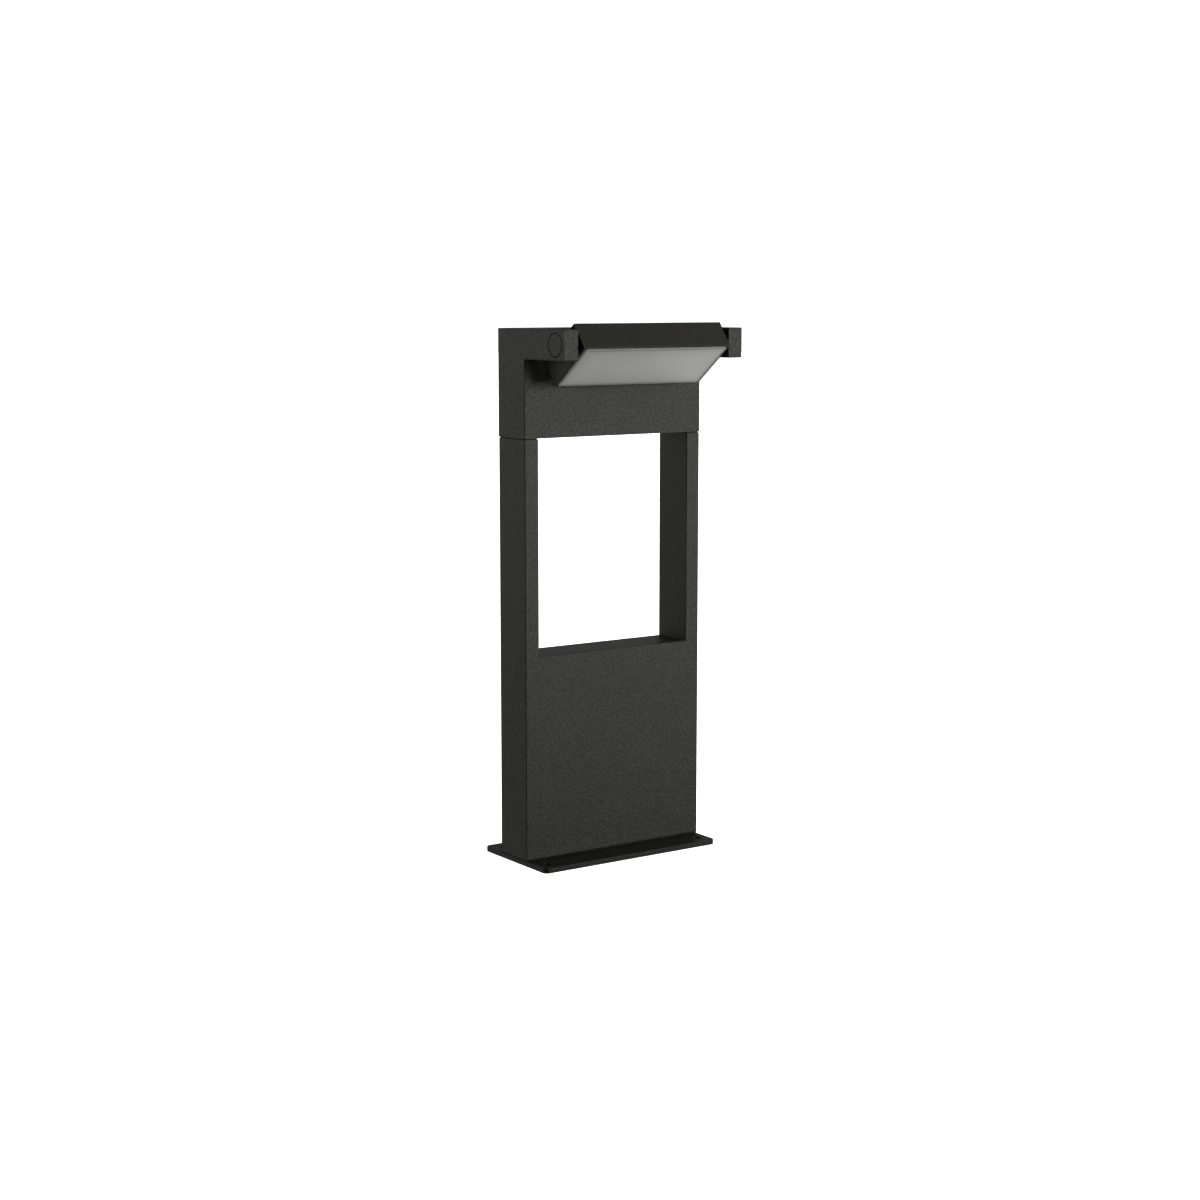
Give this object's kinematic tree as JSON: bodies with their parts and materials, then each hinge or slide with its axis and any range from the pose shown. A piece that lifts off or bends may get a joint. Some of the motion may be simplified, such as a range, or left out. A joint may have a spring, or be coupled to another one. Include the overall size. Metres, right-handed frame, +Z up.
{
  "type": "bollard light",
  "caption": "Low bollard light: flat post with an open window, a head casting with forward arms, and a tilting lamp head with an opal diffuser.",
  "frame": {"origin": "centre of the base plate's underside, which is the centre of its anchor holes", "axes": "+Z up along the post; the lamp head faces -Y; X runs across the width, along the lamp's pivot axis"},
  "size_m": [0.2, 0.145, 0.5049],
  "materials": {
    "powder_coat": "die-cast aluminium with a fine-textured matt charcoal powder coat",
    "seal_rubber": "black rubber seal",
    "stainless": "stainless steel",
    "spring_steel": "spring steel",
    "zinc_sheet": "zinc-plated sheet",
    "black_plastic": "moulded nylon",
    "white_plastic": "moulded white plastic",
    "driver_plastic": "moulded case filled with potting compound",
    "brass": "plain brass",
    "lead_black": "rubber-sheathed lead",
    "lead_grey": "silicone-sheathed lead",
    "bearing_plastic": "natural acetal",
    "board_white": "aluminium-core board with white solder mask",
    "led_phosphor": "phosphor-filled silicone",
    "opal": "satin opal acrylic, unlit"
  },
  "bodies": {
    "stand": {"base_plate": "powder_coat", "base_gasket": "seal_rubber", "base_screws": "stainless", "gland_body": "black_plastic", "gland_bush": "seal_rubber", "gland_cap": "black_plastic", "terminal_bracket": "zinc_sheet", "bracket_screws": "stainless", "terminal_block": "white_plastic", "terminal_screws": "brass", "earth_screw": "stainless", "earth_tag": "brass", "post_body": "powder_coat", "joint_gaskets": "seal_rubber", "joint_screws": "stainless", "head_casting": "powder_coat", "head_cover": "powder_coat", "cover_gasket": "seal_rubber", "cover_screws": "stainless", "driver_case": "driver_plastic", "driver_screws": "stainless", "supply_lead": "lead_black", "led_lead": "lead_grey", "pivot_bushes": "bearing_plastic", "spring_washers": "spring_steel", "left_plug": "powder_coat", "right_plug": "powder_coat"},
    "lamp_head": {"pivot_bolt": "stainless", "pivot_shaft": "stainless", "pivot_nut": "stainless", "friction_washers": "bearing_plastic", "pivot_orings": "seal_rubber", "stop_pin": "stainless", "lamp_housing": "powder_coat", "led_board": "board_white", "leds": "led_phosphor", "board_screws": "stainless", "reflector": "white_plastic", "diffuser_gasket": "seal_rubber", "diffuser": "opal", "lamp_lead": "lead_grey"}
  },
  "joints": [
    {"name": "head_tilt", "type": "hinge", "parent": "stand", "child": "lamp_head", "pos_m": [0, -0.073, 0.486], "axis": [-1, 0, 0], "range_deg": [-36.6, 53.4]}
  ]
}
